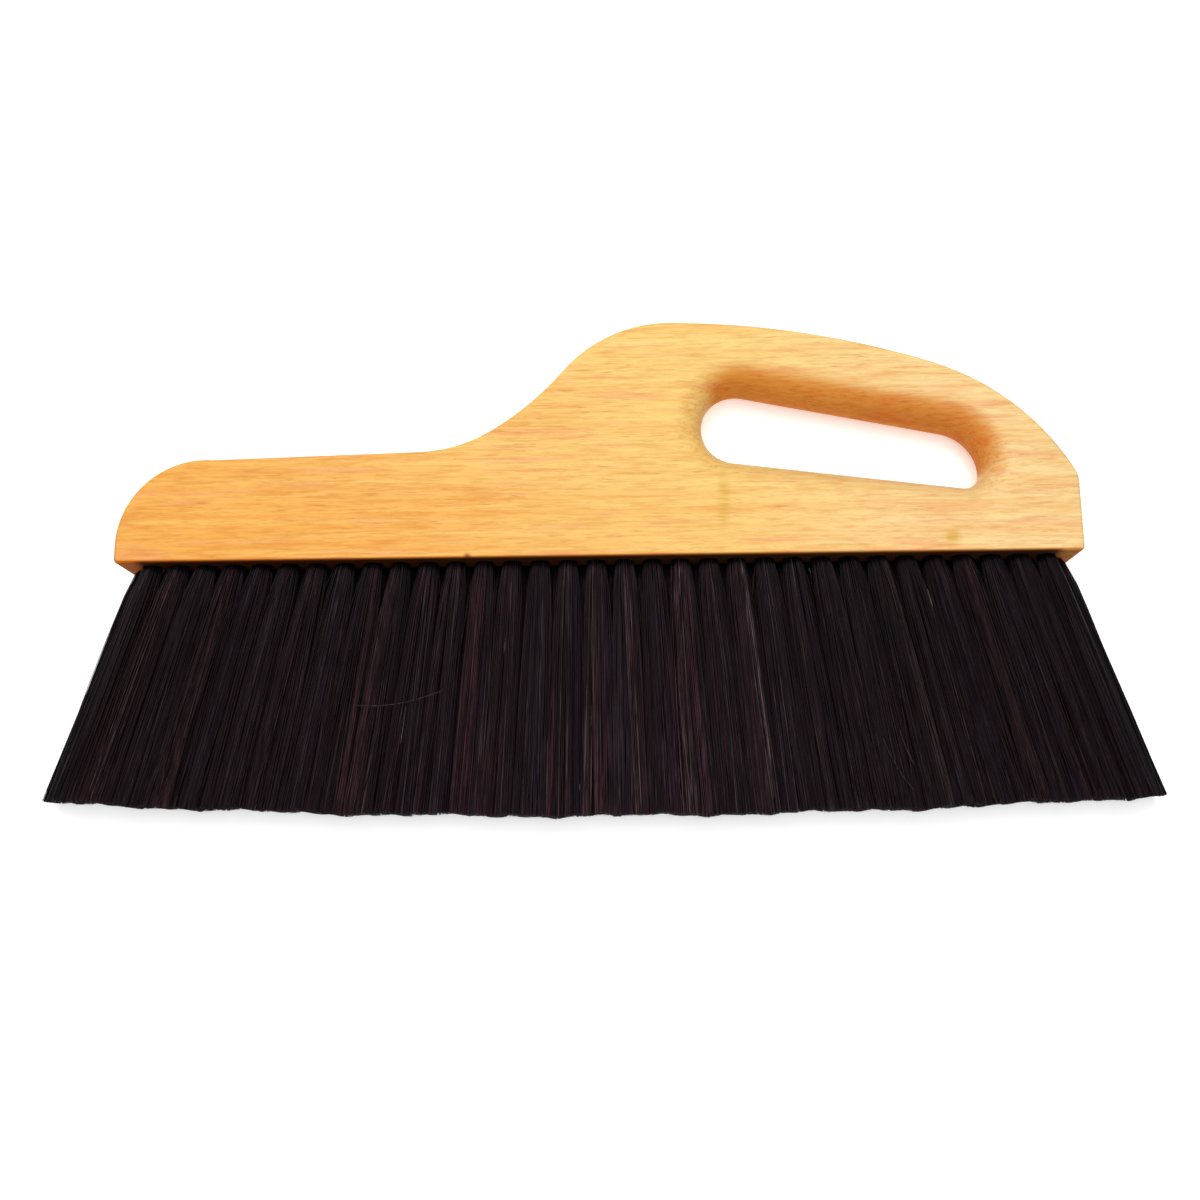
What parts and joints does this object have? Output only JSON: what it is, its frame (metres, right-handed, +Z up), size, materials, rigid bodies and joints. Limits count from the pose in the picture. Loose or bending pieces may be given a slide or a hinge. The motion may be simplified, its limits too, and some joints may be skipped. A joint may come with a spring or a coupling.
{
  "type": "bee brush",
  "caption": "Wide flat hand brush for sweeping bees off combs: a one-piece wooden stock with a closed finger-slot grip and a fan of dark horsehair tufts set in two staggered rows.",
  "frame": {"origin": "bottom centre of the bounding box, with the brush lying on its rear face", "axes": "+X along the stock towards the grip, +Y from the hair tips up to the grip's back, +Z up through the thickness"},
  "size_m": [0.3586, 0.1624, 0.0215],
  "materials": {
    "handle_wood": "pale straight-grained hardwood, sanded smooth, thin satin lacquer",
    "horsehair": "near-black natural horsehair with reddish brown strands, soft sheen",
    "anchor_wire": "bare flat wire"
  },
  "bodies": {
    "root": {"front_tuft_01": "horsehair", "front_tuft_02": "horsehair", "front_tuft_03": "horsehair", "front_tuft_04": "horsehair", "front_tuft_05": "horsehair", "front_tuft_06": "horsehair", "front_tuft_07": "horsehair", "front_tuft_08": "horsehair", "front_tuft_09": "horsehair", "front_tuft_10": "horsehair", "front_tuft_11": "horsehair", "front_tuft_12": "horsehair", "front_tuft_13": "horsehair", "front_tuft_14": "horsehair", "front_tuft_15": "horsehair", "front_tuft_16": "horsehair", "front_tuft_17": "horsehair", "front_tuft_18": "horsehair", "front_tuft_19": "horsehair", "front_tuft_20": "horsehair", "front_tuft_21": "horsehair", "front_tuft_22": "horsehair", "front_tuft_23": "horsehair", "front_tuft_24": "horsehair", "front_tuft_25": "horsehair", "front_tuft_26": "horsehair", "front_tuft_27": "horsehair", "front_tuft_28": "horsehair", "front_tuft_29": "horsehair", "front_tuft_30": "horsehair", "front_tuft_31": "horsehair", "front_tuft_32": "horsehair", "front_tuft_33": "horsehair", "handle_block": "handle_wood", "rear_tufts_01_02": "horsehair", "rear_tufts_03_04": "horsehair", "rear_tufts_05_06": "horsehair", "rear_tufts_07_08": "horsehair", "rear_tufts_09_10": "horsehair", "rear_tufts_11_12": "horsehair", "rear_tufts_13_14": "horsehair", "rear_tufts_15_16": "horsehair", "rear_tufts_17_18": "horsehair", "rear_tufts_19_20": "horsehair", "rear_tufts_21_22": "horsehair", "rear_tufts_23_24": "horsehair", "rear_tufts_25_26": "horsehair", "rear_tufts_27_28": "horsehair", "rear_tufts_29_30": "horsehair", "rear_tufts_31_32": "horsehair", "rear_tufts_33_34": "horsehair", "tuft_anchors": "anchor_wire"}
  },
  "joints": []
}
